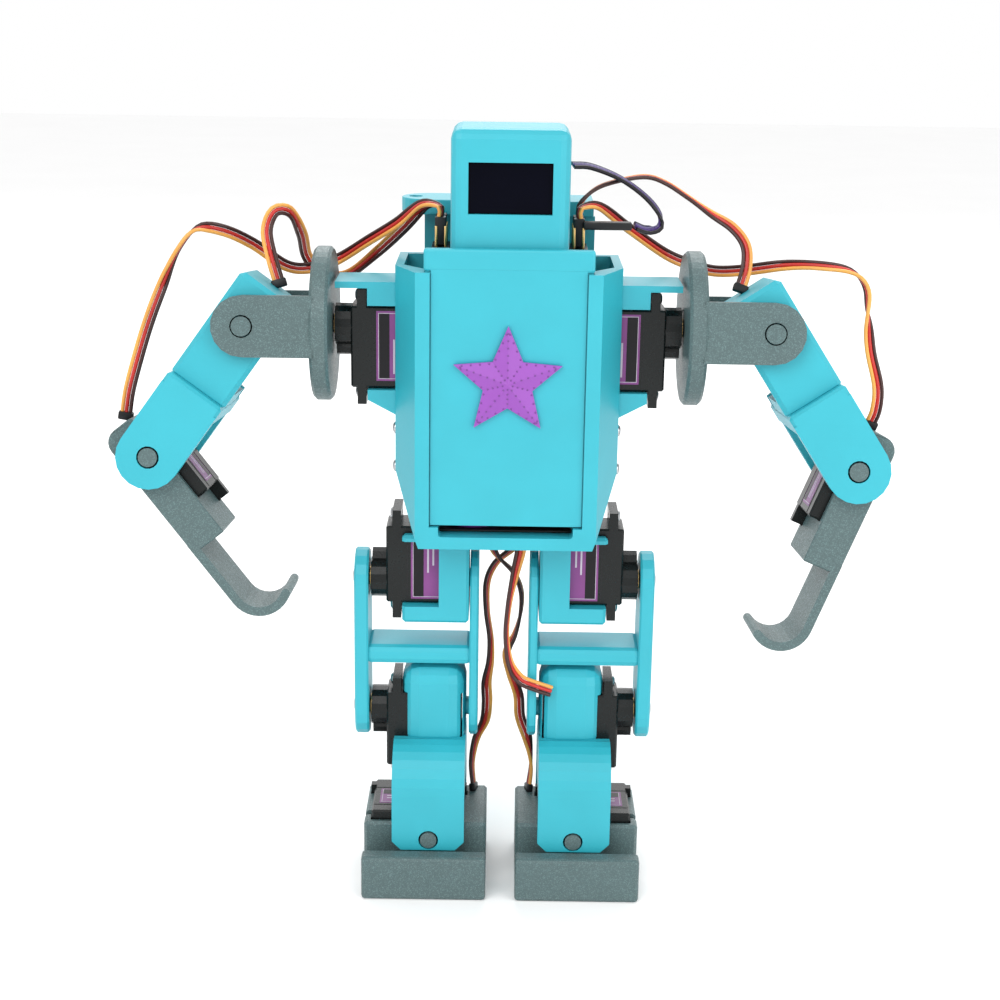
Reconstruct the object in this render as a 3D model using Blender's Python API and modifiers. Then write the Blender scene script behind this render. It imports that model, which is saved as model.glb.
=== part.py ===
"""Biped humanoid robot kit: twelve micro servos in printed brackets, a chest box with a sliding
cover, a display head, hook hands and bumper feet.

Sizes are in millimetres here and metres in the model. +X is the robot's own left side, the front
faces -Y and the soles stand on Z = 0. Each side is built once, at +X, and mirrored.
"""

import math

import bmesh
import bpy
from mathutils import Matrix, Vector

MM = 0.001
GAP = 0.3

# Joint axes
SHOULDER_Z = 163.7
ROLL_X = 71.7
UPPER_ARM = 44.0
HIP_Z = 89.7
KNEE_Z = 49.8
ANKLE_X = 21.0
ANKLE_Z = 15.9

# The stance that the kit is stored in, in degrees
ARM_PITCH = 7.0
ARM_ROLL = {"left": 32.9, "right": 35.5}
ELBOW_BEND = {"left": 55.6, "right": 73.8}

# Micro servo: the shaft is its origin, heights are counted from the bottom of its case
SERVO_W = 12.2
SERVO_END = 5.9
SERVO_FAR = 16.9
EAR_UNDER = 17.6
EAR_TOP = 20.1
CASE_TOP = 21.9
TURRET_TOP = 26.4
SPLINE_TOP = 29.4
EAR_REACH = 4.7
TRIMMED_EAR = 1.3
TURRET_R = 5.8
SPLINE_R = 2.4
BUMP_R = 2.6
EAR_HOLE = 2.3
EAR_HOLE_R = 1.0
CABLE_BOSS = 1.6
CABLE_HALF = 2.2
CABLE_Z = (3.4, 5.6)

# Printed joints
PIN_R = 2.7
PIN_HOLE_R = 3.1
HORN_R = 5.0
HORN_HOLE_R = 5.3
HORN_BORE_R = 2.7
SCREW_HOLE_R = 1.6

# Forks and clevises, front and rear plates across Y
FORK_FRONT = (-20.5, -17.0)
FORK_REAR = (12.8, 16.5)
INNER_FRONT = -16.7
INNER_REAR = 12.5
SERVO_BACK = -14.0

# Shoulder
SHOULDER_BOTTOM_X = 21.6
DISC = (48.6, 53.7)
DISC_R = 21.4
FORK_HALF = 8.3
ARM_HALF = 8.8
ARM_HEAD = 12.0
STEP_Z = -21.3
WEB_Z = -27.5

# Forearm
FOREARM_OUT = 7.8
FOREARM_IN = -2.7
FOREARM_TOP = 11.4
BLOCK_END = -28.6
FINGER_REAR = 5.0
HOOK_C = (-1.2, -46.0)
HOOK_INNER_R = 6.5
HOOK_SWEEP = 124

# Legs
LEG_BOTTOM_X = 12.0
THIGH_OUT = (39.0, 43.0)
THIGH_IN = (7.3, 9.8)
THIGH_HALF = 8.5
BAR_Z = (65.3, 71.0)
SHIN_X = (10.7, 29.3)
SHIN_LOW_X = (10.7, 31.6)
FOOT_X = (4.3, 40.0)
FOOT_BOX_Y = (-16.0, 11.0)
FOOT_TOP = 19.2
BUMPER_Y = (-27.0, -21.5)
BUMPER_TOP = 13.3

# Torso
RAIL_Y = (-22.0, -17.0)
RAIL_OUT = 25.0
RAIL_IN = 21.1
GROOVE_Y = (-20.8, -18.3)
SIDE_X = 31.0
SIDE_Y = -9.0
BACK_Y = (13.0, 16.0)
TORSO_Z = (105.0, 181.6)
LEDGE_TOP = 108.4
SLOT_X = 18.6
COVER_Y = (-20.5, -18.6)
COVER_Z = (111.5, 187.6)
WALL = 2.4
HEADER_TOP = 193.0
CELL_AT = (-9.3, -6.5)
CELL_R = 9.0

COLOURS = {
    "printed_blue": ((0.075, 0.60, 0.78, 1), 0.45, 0),
    "printed_grey": ((0.16, 0.22, 0.22, 1), 0.55, 0),
    "printed_purple": ((0.25, 0.05, 0.35, 1), 0.5, 0),
    "servo_black": ((0.012, 0.014, 0.014, 1), 0.3, 0),
    "horn_black": ((0.02, 0.02, 0.02, 1), 0.4, 0),
    "display_glass": ((0.006, 0.006, 0.009, 1), 0.1, 0),
    "board_dark": ((0.02, 0.02, 0.03, 1), 0.4, 0),
    "battery_purple": ((0.22, 0.03, 0.30, 1), 0.35, 0),
    "lead_wire": ((0.30, 0.02, 0.01, 1), 0.4, 0),
}


def clear_scene():
    for obj in list(bpy.data.objects):
        bpy.data.objects.remove(obj, do_unlink=True)


def make_collection(name):
    collection = bpy.data.collections.new(name)
    bpy.context.scene.collection.children.link(collection)
    return collection


def make_materials():
    made = {}
    for name, (colour, roughness, metallic) in COLOURS.items():
        material = bpy.data.materials.new(name)
        material.use_nodes = True
        shader = material.node_tree.nodes["Principled BSDF"]
        shader.inputs["Base Color"].default_value = colour
        shader.inputs["Roughness"].default_value = roughness
        shader.inputs["Metallic"].default_value = metallic
        made[name] = material
    return made


def from_bmesh(shape, name="piece"):
    mesh = bpy.data.meshes.new(name)
    shape.to_mesh(mesh)
    shape.free()
    obj = bpy.data.objects.new(name, mesh)
    bpy.context.scene.collection.objects.link(obj)
    return obj


def box(x, y, z):
    """A block between two limits on each axis, in millimetres."""
    lows = Vector((min(x), min(y), min(z)))
    highs = Vector((max(x), max(y), max(z)))
    shape = bmesh.new()
    bmesh.ops.create_cube(shape, size=1)
    size = Matrix.Diagonal((*(highs - lows) * MM, 1))
    move = Matrix.Translation((highs + lows) / 2 * MM)
    bmesh.ops.transform(shape, matrix=move @ size, verts=shape.verts)
    return from_bmesh(shape)


def rod(axis, at, span, radius, segments=16):
    """A cylinder along an axis. at gives its centre on the other two axes, in X, Y, Z order."""
    shape = bmesh.new()
    length = (span[1] - span[0]) * MM
    size = radius * MM
    bmesh.ops.create_cone(shape, cap_ends=True, segments=segments, radius1=size, radius2=size, depth=length)
    turn = {
        "X": Matrix.Rotation(math.pi / 2, 4, "Y"),
        "Y": Matrix.Rotation(-math.pi / 2, 4, "X"),
        "Z": Matrix.Identity(4),
    }[axis]
    middle = (span[0] + span[1]) / 2
    centre = {
        "X": (middle, *at),
        "Y": (at[0], middle, at[1]),
        "Z": (*at, middle),
    }[axis]
    move = Matrix.Translation(Vector(centre) * MM)
    bmesh.ops.transform(shape, matrix=move @ turn, verts=shape.verts)
    return from_bmesh(shape)


def slab(outline, axis, span):
    """A flat outline of (a, b) points, filled and given a thickness along an axis."""
    curve = bpy.data.curves.new("outline", "CURVE")
    curve.dimensions = "2D"
    curve.fill_mode = "BOTH"
    curve.extrude = (span[1] - span[0]) / 2 * MM
    spline = curve.splines.new("POLY")
    spline.points.add(len(outline) - 1)
    for point, (a, b) in zip(spline.points, outline):
        point.co = (a * MM, b * MM, 0, 1)
    spline.use_cyclic_u = True
    flat = bpy.data.objects.new("outline", curve)
    bpy.context.scene.collection.objects.link(flat)
    bpy.context.view_layer.update()
    graph = bpy.context.evaluated_depsgraph_get()
    mesh = bpy.data.meshes.new_from_object(flat.evaluated_get(graph))
    bpy.data.objects.remove(flat, do_unlink=True)
    shape = bmesh.new()
    shape.from_mesh(mesh)
    bpy.data.meshes.remove(mesh)
    bmesh.ops.remove_doubles(shape, verts=shape.verts, dist=1e-6)
    middle = (span[0] + span[1]) / 2 * MM
    place = {
        # outline a -> Y, b -> Z, thickness -> X
        "X": Matrix(((0, 0, 1, middle), (1, 0, 0, 0), (0, 1, 0, 0), (0, 0, 0, 1))),
        # outline a -> X, b -> Z, thickness -> -Y
        "Y": Matrix(((1, 0, 0, 0), (0, 0, -1, middle), (0, 1, 0, 0), (0, 0, 0, 1))),
        # outline a -> X, b -> Y, thickness -> Z
        "Z": Matrix(((1, 0, 0, 0), (0, 1, 0, 0), (0, 0, 1, middle), (0, 0, 0, 1))),
    }[axis]
    bmesh.ops.transform(shape, matrix=place, verts=shape.verts)
    bmesh.ops.recalc_face_normals(shape, faces=shape.faces)
    return from_bmesh(shape)


def arc(centre, radius, start, end, steps):
    """Points on a circle, with the angles in degrees."""
    angles = [math.radians(start + (end - start) * i / steps) for i in range(steps + 1)]
    return [(centre[0] + radius * math.cos(a), centre[1] + radius * math.sin(a)) for a in angles]


def apply_modifiers(obj):
    bpy.context.view_layer.update()
    graph = bpy.context.evaluated_depsgraph_get()
    result = bpy.data.meshes.new_from_object(obj.evaluated_get(graph))
    old = obj.data
    obj.modifiers.clear()
    obj.data = result
    bpy.data.meshes.remove(old)


def combine(target, tools, operation):
    """Joins tools to a target or cuts them from it, and removes them."""
    for tool in tools:
        modifier = target.modifiers.new("join", "BOOLEAN")
        modifier.operation = operation
        modifier.solver = "EXACT"
        modifier.object = tool
        apply_modifiers(target)
        mesh = tool.data
        bpy.data.objects.remove(tool, do_unlink=True)
        bpy.data.meshes.remove(mesh)
    return target


def join(target, *tools):
    return combine(target, tools, "UNION")


def cut(target, *tools):
    return combine(target, tools, "DIFFERENCE")


def soften(obj, width, segments=2, angle=50):
    """Rounds every edge that is sharper than an angle."""
    modifier = obj.modifiers.new("soften", "BEVEL")
    modifier.width = width * MM
    modifier.segments = segments
    modifier.limit_method = "ANGLE"
    modifier.angle_limit = math.radians(angle)
    apply_modifiers(obj)
    return obj


def stadium(axis, thick, ends, half, segments=9):
    """A plate with two round ends. ends are the end centres, at the same first coordinate."""
    (a0, b0), (a1, b1) = ends
    points = arc((a0, b0), half, 0, 180, segments) + arc((a1, b1), half, 180, 360, segments)
    return slab(points, axis, thick)


def servo(ear_far=EAR_REACH):
    """A servo with its shaft along +Z at the origin and the long part of its case along -X."""
    half = SERVO_W / 2
    case = box((-SERVO_FAR, SERVO_END), (-half, half), (0, CASE_TOP))
    soften(case, 0.5, 1)
    ears = box((-SERVO_FAR - ear_far, SERVO_END + EAR_REACH), (-half, half), (EAR_UNDER, EAR_TOP))
    turret = rod("Z", (0, 0), (CASE_TOP - 1, TURRET_TOP), TURRET_R)
    bump = rod("Z", (-TURRET_R - 0.4, 0), (CASE_TOP - 1, TURRET_TOP - GAP), BUMP_R, 8)
    spline = rod("Z", (0, 0), (TURRET_TOP - 1, SPLINE_TOP), SPLINE_R, 10)
    cable = box((-SERVO_FAR - CABLE_BOSS, -SERVO_FAR + 1), (-CABLE_HALF, CABLE_HALF), CABLE_Z)
    body = join(case, ears, turret, bump, spline, cable)
    holes = [SERVO_END + EAR_HOLE]
    if ear_far == EAR_REACH:
        holes.append(-SERVO_FAR - EAR_HOLE)
    for end in holes:
        cut(body, rod("Z", (end, 0), (EAR_UNDER - 1, EAR_TOP + 1), EAR_HOLE_R, 8))
    return body


def turned(obj, matrix):
    obj.data.transform(matrix)
    if matrix.determinant() < 0:
        obj.data.flip_normals()
    return obj


def axes_matrix(x_to, y_to, z_to, origin):
    """The matrix that sends X, Y and Z to three directions, and the origin to a point in mm."""
    turn = Matrix((x_to, y_to, z_to)).transposed().to_4x4()
    return Matrix.Translation(Vector(origin) * MM) @ turn


def horn(axis, at, span):
    ring = rod(axis, at, span, HORN_R)
    return cut(ring, rod(axis, at, (span[0] - 1, span[1] + 1), HORN_BORE_R, 12))


# ---------------------------------------------------------------- arm pieces, built at +X


def shoulder_servo():
    """The shaft points out along +X and the case hangs below it."""
    place = axes_matrix((0, 0, 1), (0, -1, 0), (1, 0, 0), (SHOULDER_BOTTOM_X, 0, SHOULDER_Z))
    return turned(servo(), place)


def shoulder_disc():
    """The pitch disc and its fork, with the shoulder axis along X at Z = 0."""
    disc = rod("X", (0, 0), DISC, DISC_R, 48)
    soften(disc, 0.8, 1)
    reach = DISC[1] - 1
    plates = []
    for span in (FORK_FRONT, FORK_REAR):
        outline = [(reach, FORK_HALF)] + arc((ROLL_X, 0), FORK_HALF, 90, -90, 9) + [(reach, -FORK_HALF)]
        plates.append(slab(outline, "Y", span))
    body = join(disc, *plates)
    cut(body, rod("Y", (ROLL_X, 0), (FORK_FRONT[0] - 1, FORK_FRONT[1] + 1), PIN_HOLE_R))
    cut(body, rod("Y", (ROLL_X, 0), (FORK_REAR[0] - 1, FORK_REAR[1] + 1), HORN_HOLE_R))
    cut(body, rod("X", (0, 0), (DISC[0] - 1, DISC[0] + 3.3), HORN_HOLE_R))
    cut(body, rod("X", (0, 0), (DISC[0] - 1, DISC[1] + 1), SCREW_HOLE_R, 8))
    return body


def roll_frame_servo(ear_far=EAR_REACH):
    """A servo whose shaft points back along +Y, with its case hanging along -Z."""
    place = axes_matrix((0, 0, 1), (1, 0, 0), (0, 1, 0), (0, SERVO_BACK, 0))
    return turned(servo(ear_far), place)


def servo_pocket(open_x, wall_x, rear):
    """What a printed arm leaves for such a servo, open towards open_x."""
    across = (open_x, wall_x)
    body = box(across, (SERVO_BACK - GAP, rear), (-SERVO_FAR - GAP, SERVO_END + GAP))
    ears = box(
        across,
        (SERVO_BACK + EAR_UNDER - GAP, SERVO_BACK + EAR_TOP + GAP),
        (-SERVO_FAR - EAR_REACH - GAP, SERVO_END + EAR_REACH + GAP),
    )
    cable = box(
        (-CABLE_HALF - GAP, CABLE_HALF + GAP),
        (SERVO_BACK + CABLE_Z[0] - GAP, SERVO_BACK + CABLE_Z[1] + GAP),
        (-SERVO_FAR - CABLE_BOSS - GAP, -SERVO_FAR + 1),
    )
    return [body, ears, cable]


def upper_arm():
    """Origin on the roll axis, the arm along -Z, its outer side at +X."""
    head = box((-ARM_HALF, ARM_HALF), (INNER_FRONT, 8.2), (STEP_Z - 1, ARM_HEAD))
    soften(head, 1.2, 1)
    web = box((-ARM_HALF, ARM_HALF), (FORK_FRONT[0], FORK_REAR[1]), (WEB_Z, STEP_Z))
    soften(web, 0.8, 1)
    plates = []
    for span, half in ((FORK_FRONT, ARM_HALF), (FORK_REAR, ARM_HALF - 0.5)):
        top = (STEP_Z + WEB_Z) / 2
        outline = [(half, top)] + arc((0, -UPPER_ARM), half, 0, -180, 10) + [(-half, top)]
        plates.append(slab(outline, "Y", span))
    body = join(head, web, *plates)
    cut(body, *servo_pocket(-ARM_HALF - 1, SERVO_W / 2 + GAP, 9.5))
    cut(body, rod("Y", (0, 0), (INNER_FRONT - 1, SERVO_BACK), PIN_R + 0.05))
    cut(body, rod("Y", (0, -UPPER_ARM), (FORK_FRONT[0] - 1, FORK_FRONT[1] + 1), PIN_HOLE_R))
    cut(body, rod("Y", (0, -UPPER_ARM), (FORK_REAR[0] - 1, FORK_REAR[1] + 1), HORN_HOLE_R))
    return body


def shoulder_pin():
    """The roll pivot, pressed into the upper arm and free in the fork's front plate."""
    return rod("Y", (0, 0), (FORK_FRONT[0] - 0.4, SERVO_BACK - GAP), PIN_R)


def forearm():
    """Origin on the elbow axis, the forearm along -Z, its outer side at +X."""
    crown = 4.2
    outline = [(FOREARM_IN, BLOCK_END), (FOREARM_OUT, BLOCK_END)]
    outline += arc((FOREARM_OUT - crown, FOREARM_TOP - crown), crown, 0, 90, 5)
    outline += arc((FOREARM_IN + 1.5, FOREARM_TOP - 1.5), 1.5, 90, 180, 2)
    block = slab(outline, "Y", (INNER_FRONT + 0.1, 7.2))
    soften(block, 0.7, 1)
    inner = HOOK_C[0] + HOOK_INNER_R
    outer_r = FOREARM_OUT - HOOK_C[0]
    tip_r = (outer_r - HOOK_INNER_R) / 2
    tip = arc(HOOK_C, HOOK_INNER_R + tip_r, -HOOK_SWEEP, 0, 1)[0]
    start = BLOCK_END + 3
    outline = [(inner, start)]
    outline += arc(HOOK_C, HOOK_INNER_R, 0, -HOOK_SWEEP, 9)
    outline += arc(tip, tip_r, 180 - HOOK_SWEEP, 360 - HOOK_SWEEP, 6)[1:-1]
    outline += arc(HOOK_C, outer_r, -HOOK_SWEEP, 0, 12)
    outline += [(FOREARM_OUT, start)]
    finger = slab(outline, "Y", (INNER_FRONT + 0.1, FINGER_REAR))
    pin = rod("Y", (0, 0), (FORK_FRONT[0] - 0.2, SERVO_BACK - 1), PIN_R - 0.1)
    body = join(block, finger)
    cut(body, *servo_pocket(FOREARM_IN - 6, SERVO_W / 2 + GAP, 9.5))
    return join(body, pin)


def arm_horn(z):
    return horn("Y", (0, z), (FORK_REAR[0] + 0.2, FORK_REAR[1] - 0.2))


def disc_horn():
    return horn("X", (0, 0), (DISC[0] + 0.1, DISC[0] + 3.0))


# ---------------------------------------------------------------- leg pieces, built at +X


def hip_servo():
    """The shaft points out along +X near the bottom of the case."""
    place = axes_matrix((0, 0, -1), (0, 1, 0), (1, 0, 0), (LEG_BOTTOM_X, 0, HIP_Z))
    return turned(servo(), place)


def knee_servo():
    place = axes_matrix((0, 0, 1), (0, -1, 0), (1, 0, 0), (LEG_BOTTOM_X, 0, KNEE_Z))
    return turned(servo(), place)


def hip_bracket():
    """The block under the chest that holds the hip servo and the inner hip pivot."""
    low = 78.6
    high = TORSO_Z[0] - GAP
    body = box((10.1, 29.2), (-9.0, 9.0), (low, high))
    soften(body, 0.8, 1)
    lower = HIP_Z - SERVO_END - GAP
    upper = HIP_Z + SERVO_FAR + GAP
    half = SERVO_W / 2 + GAP
    cut(body, box((LEG_BOTTOM_X - GAP, 30), (-half, half), (lower, upper)))
    cut(body, box((18.7, 30), (-10, -half + 1), (lower, 102.9)))
    cable = (LEG_BOTTOM_X + CABLE_Z[0] - GAP, LEG_BOTTOM_X + CABLE_Z[1] + GAP)
    cut(body, box(cable, (-CABLE_HALF - GAP, CABLE_HALF + GAP), (upper - 1, high + 1)))
    return join(body, rod("X", (0, HIP_Z), (THIGH_IN[0], 10.6), PIN_R))


def thigh_frame():
    outer = stadium("X", THIGH_OUT, ((0, HIP_Z), (0, KNEE_Z)), THIGH_HALF)
    inner = stadium("X", THIGH_IN, ((0, HIP_Z), (0, KNEE_Z)), THIGH_HALF)
    soften(outer, 0.8, 1)
    soften(inner, 0.5, 1)
    bar = box((THIGH_IN[1] - 1, THIGH_OUT[0] + 1), (-8.0, 8.0), BAR_Z)
    soften(bar, 1.8, 2)
    body = join(outer, bar, inner)
    for z in (HIP_Z, KNEE_Z):
        cut(body, rod("X", (0, z), (THIGH_OUT[0] - 1, THIGH_OUT[0] + 3.2), HORN_HOLE_R))
        cut(body, rod("X", (0, z), (THIGH_OUT[0] - 1, THIGH_OUT[1] + 1), SCREW_HOLE_R, 8))
        cut(body, rod("X", (0, z), (THIGH_IN[0] - 1, THIGH_IN[1] + 1), PIN_HOLE_R))
    return body


def leg_horn(z):
    return horn("X", (0, z), (THIGH_OUT[0] + 0.1, THIGH_OUT[0] + 2.9))


def shin():
    """The knee block above and the ankle clevis below, swelling forward between them."""
    top = box(SHIN_X, (-8.0, 8.0), (38.0, 64.4))
    soften(top, 5.0, 3, 80)
    low = 12.7
    front, front_in = FORK_FRONT
    rear_in, rear = FORK_REAR
    swell = [(-8.0, 42.4)]
    swell += arc((-8.0, 30.4), 12.5, 97, 172, 6)
    swell += [(front, 29.5), (front, low), (front_in, low), (front_in, 27.4)]
    swell += [(rear_in, 27.4), (rear_in, 7.6), (rear, 7.6), (rear, 36.0), (8.0, 42.4)]
    body = join(top, slab(swell, "X", SHIN_LOW_X))
    corner = 2.6
    for x, turn in ((SHIN_LOW_X[0], 1), (SHIN_LOW_X[1], -1)):
        edge = x + turn * corner
        top_edge = low + corner
        outline = [(x - turn, low - 1), (edge, low - 1), (edge, low), (x, top_edge), (x - turn, top_edge)]
        cut(body, slab(outline, "Y", (front - 1, front_in + 1)))
    half = SERVO_W / 2 + GAP
    case_low = KNEE_Z - SERVO_FAR
    cut(body, box((LEG_BOTTOM_X - GAP, 34), (-half, half), (case_low - GAP, KNEE_Z + SERVO_END + GAP)))
    cut(body, box((SHIN_X[1], 34), (-half, half), (case_low - EAR_REACH - GAP, 66)))
    cable = (LEG_BOTTOM_X + CABLE_Z[0] - GAP, LEG_BOTTOM_X + CABLE_Z[1] + GAP)
    cut(body, box(cable, (-CABLE_HALF - GAP, CABLE_HALF + GAP), (case_low - CABLE_BOSS - GAP, case_low)))
    cut(body, rod("Y", (ANKLE_X, ANKLE_Z), (front - 1, front_in + 1), PIN_HOLE_R - 0.2))
    cut(body, rod("Y", (ANKLE_X, ANKLE_Z), (rear_in - 1, rear + 1), HORN_HOLE_R))
    return join(body, rod("X", (0, KNEE_Z), (THIGH_IN[0], SHIN_X[0] + 0.5), PIN_R))


def ankle_horn():
    return horn("Y", (ANKLE_X, ANKLE_Z), (FORK_REAR[0] + 0.2, FORK_REAR[1] - 0.2))


def foot():
    base = box(FOOT_X, (BUMPER_Y[0] + 2, FOOT_BOX_Y[1]), (0, 5.0))
    tower = box(FOOT_X, FOOT_BOX_Y, (0.0, FOOT_TOP))
    soften(tower, 0.8, 1)
    bumper = box((FOOT_X[0] - 0.1, FOOT_X[1] + 0.1), BUMPER_Y, (0, BUMPER_TOP))
    soften(bumper, 1.0, 2)
    body = join(tower, base, bumper)
    half = SERVO_W / 2 + GAP
    near = ANKLE_X - SERVO_END - GAP
    far = ANKLE_X + SERVO_FAR + GAP
    floor = ANKLE_Z - half
    cut(body, box((near, far), (SERVO_BACK - GAP, 12), (floor, FOOT_TOP + 1)))
    ears = (SERVO_BACK + EAR_UNDER - GAP, SERVO_BACK + EAR_TOP + GAP)
    cut(body, box((near - EAR_REACH, far + 1.2), ears, (floor, FOOT_TOP + 1)))
    cable = (SERVO_BACK + CABLE_Z[0] - GAP, SERVO_BACK + CABLE_Z[1] + GAP)
    cut(body, box((far - 1, FOOT_X[1] + 1), cable, (ANKLE_Z - CABLE_HALF - GAP, FOOT_TOP + 1)))
    pin = rod("Y", (ANKLE_X, ANKLE_Z), (FORK_FRONT[0] - 0.3, FOOT_BOX_Y[0] + 1), PIN_R - 0.3)
    return join(body, pin)


def ankle_servo():
    """The shaft points back and the case lies outwards. Its outer ear is trimmed to fit the foot."""
    place = axes_matrix((-1, 0, 0), (0, 0, 1), (0, 1, 0), (ANKLE_X, SERVO_BACK, ANKLE_Z))
    return turned(servo(TRIMMED_EAR), place)


def header():
    """A row of lead sockets on the board, beside the head."""
    return box((17.4, 20.6), (-11.0, 8.5), (TORSO_Z[1] + 2.3, HEADER_TOP))


def display_plug():
    """The socket row on the robot's left, with the display's plug pushed into its side."""
    return join(header(), box((20.0, 33.0), (-8.6, -4.6), (191.5, 194.0)))


# ---------------------------------------------------------------- torso pieces


def torso_outline(front):
    """Half the chest's section, from the front lip round to the back, as (x, y) points."""
    return [(RAIL_OUT, front), (SIDE_X, SIDE_Y), (SIDE_X, BACK_Y[1])]


def torso_frame():
    """The chest box: rails in front, side walls, a back wall, a floor and the shoulder arms."""
    outer = torso_outline(RAIL_Y[0])
    body = slab(outer + [(-x, y) for x, y in reversed(outer)], "Z", TORSO_Z)
    above = TORSO_Z[1] + 1
    inside = [(RAIL_IN, RAIL_Y[1]), (SIDE_X - WALL, SIDE_Y + 1.0), (SIDE_X - WALL, BACK_Y[0])]
    cut(body, slab(inside + [(-x, y) for x, y in reversed(inside)], "Z", (LEDGE_TOP, above)))
    cut(body, box((-RAIL_IN, RAIL_IN), (RAIL_Y[0] - 1, RAIL_Y[1] + 0.5), (COVER_Z[0] - GAP, above)))
    cut(body, box((-RAIL_IN - 1.6, RAIL_IN + 1.6), GROOVE_Y, (COVER_Z[0] - GAP, above + 1)))
    slot = box((-SLOT_X, SLOT_X), (RAIL_Y[0] - 1, RAIL_Y[1] + 1), (LEDGE_TOP + 0.05, COVER_Z[0] + 1))
    soften(slot, 0.9, 2)
    cut(body, slot)
    for side in (1, -1):
        taper = [(side * 31.05, 124.2), (side * 40, 124.2), (side * 40, 100.0), (side * 22.2, 100.0)]
        cut(body, slab(taper, "Y", (-30, 30)))
    body = join(body, box((-24, 24), (BACK_Y[0] + 0.4, BACK_Y[1] - 0.4), (175.0, 192.6)))
    half = SERVO_W / 2 + GAP
    for side in (1, -1):
        beam = [(29.0, 176.6), (47.6, 176.6), (47.6, 174.8), (38.8, 174.8), (38.8, 170.0), (29.0, 170.0)]
        shelf = [(29.0, 146.4), (38.8, 146.4), (38.8, 143.6), (29.0, 138.4)]
        for outline in (beam, shelf):
            body = join(body, slab([(side * x, z) for x, z in outline], "Y", (-7.4, 9.0)))
        pocket = (SHOULDER_Z - SERVO_FAR - GAP, SHOULDER_Z + SERVO_END + GAP)
        cut(body, box((side * (SHOULDER_BOTTOM_X - GAP), side * 40), (-half, half), pocket))
        hip_case = (HIP_Z, HIP_Z + SERVO_FAR + GAP)
        cut(body, box((side * (LEG_BOTTOM_X - GAP), side * 40), (-half, half), hip_case))
        cut(body, box((side * 15.0, side * 18.0), (-2.6, 2.6), (HIP_Z, LEDGE_TOP + 1)))
    cut(body, box((-7, 7), (-12, 10), (TORSO_Z[0] - 1, LEDGE_TOP + 1)))
    return body


def board():
    """The controller board across the top of the chest, resting on the battery holder."""
    plate = box((-21.5, 21.5), (-12.5, 12.0), (TORSO_Z[1] + GAP, TORSO_Z[1] + 2.0))
    return soften(plate, 0.5, 1)


def head_shell():
    """A rounded shell, open at the back and below, with the display window in front."""
    body = box((-15.9, 15.9), (-17.5, 9.0), (184.0, 219.0))
    soften(body, 2.8, 3)
    cut(body, box((-13.7, 13.7), (-15.3, 10.0), (183.0, 216.8)))
    cut(body, box((-11.2, 11.2), (-19.0, -14.0), (196.6, 210.2)))
    return body


def display_module():
    """The screen's glass with its board, held behind the window."""
    body = box((-13.3, 13.3), (-15.0, -13.4), (193.0, 214.0))
    return join(body, box((-10.9, 10.9), (-16.4, -14.5), (196.9, 209.9)))


def neck_deck():
    """The printed deck behind the head, with a round end and a hole at the robot's right."""
    half = 8.4
    middle = 17.9
    outline = [(23.4, middle + half), (-22.2, middle + half)]
    outline += arc((-22.2, middle), half, 90, 270, 12)[1:]
    outline += [(23.4, middle - half)]
    body = slab(outline, "Z", (193.0, 197.2))
    soften(body, 0.8, 2)
    return cut(body, rod("Z", (-26.6, middle), (190, 200), 2.0, 16))


def front_cover():
    """The sliding chest cover: a plate in the rail grooves with a wider top."""
    edge = RAIL_IN + 1.3
    body = box((-edge, edge), COVER_Y, COVER_Z)
    head = box((-22.8, 22.8), (-21.2, COVER_Y[1] + 0.2), (TORSO_Z[1] + 0.3, COVER_Z[1] + 0.3))
    soften(head, 0.7, 2)
    inset = RAIL_IN - GAP
    face = box((-inset, inset), (-21.1, COVER_Y[1] - 0.5), (COVER_Z[0] + 0.2, COVER_Z[1] - 2))
    return join(body, head, face)


def star_badge():
    """A five-pointed star with a raised centre, glued to the cover."""
    shape = bmesh.new()
    face_y = -21.5
    centre_z = 152.2
    outer, inner, peak = 15.4, 7.0, 3.2
    ring = []
    back = []
    for i in range(10):
        radius = outer if i % 2 == 0 else inner
        angle = math.pi / 2 + i * math.pi / 5
        x, z = radius * math.cos(angle), centre_z + radius * math.sin(angle)
        ring.append(shape.verts.new(Vector((x, face_y - 0.7, z)) * MM))
        back.append(shape.verts.new(Vector((x, face_y, z)) * MM))
    top = shape.verts.new(Vector((0, face_y - peak, centre_z)) * MM)
    for i in range(10):
        j = (i + 1) % 10
        shape.faces.new((ring[i], ring[j], top))
        shape.faces.new((back[i], back[j], ring[j], ring[i]))
    shape.faces.new(back)
    bmesh.ops.recalc_face_normals(shape, faces=shape.faces)
    return from_bmesh(shape)


def battery_cell():
    body = rod("Z", CELL_AT, (109.2, 174.2), CELL_R, 24)
    soften(body, 0.8, 1)
    return join(body, rod("Z", CELL_AT, (174.0, 175.2), 2.8, 12))


def battery_tray():
    """A black holder behind the cell, with a rib between it and the power module."""
    body = box((-19.0, 19.0), (2.8, 4.8), (109.0, TORSO_Z[1]))
    return join(body, box((0.0, 1.4), (-13, 3.4), (109.0, 178.0)))


def power_module():
    body = box((2.0, 18.4), (-13.0, 2.4), (109.2, 148.0))
    soften(body, 0.6, 1)
    return body


# ---------------------------------------------------------------- leads

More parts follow.
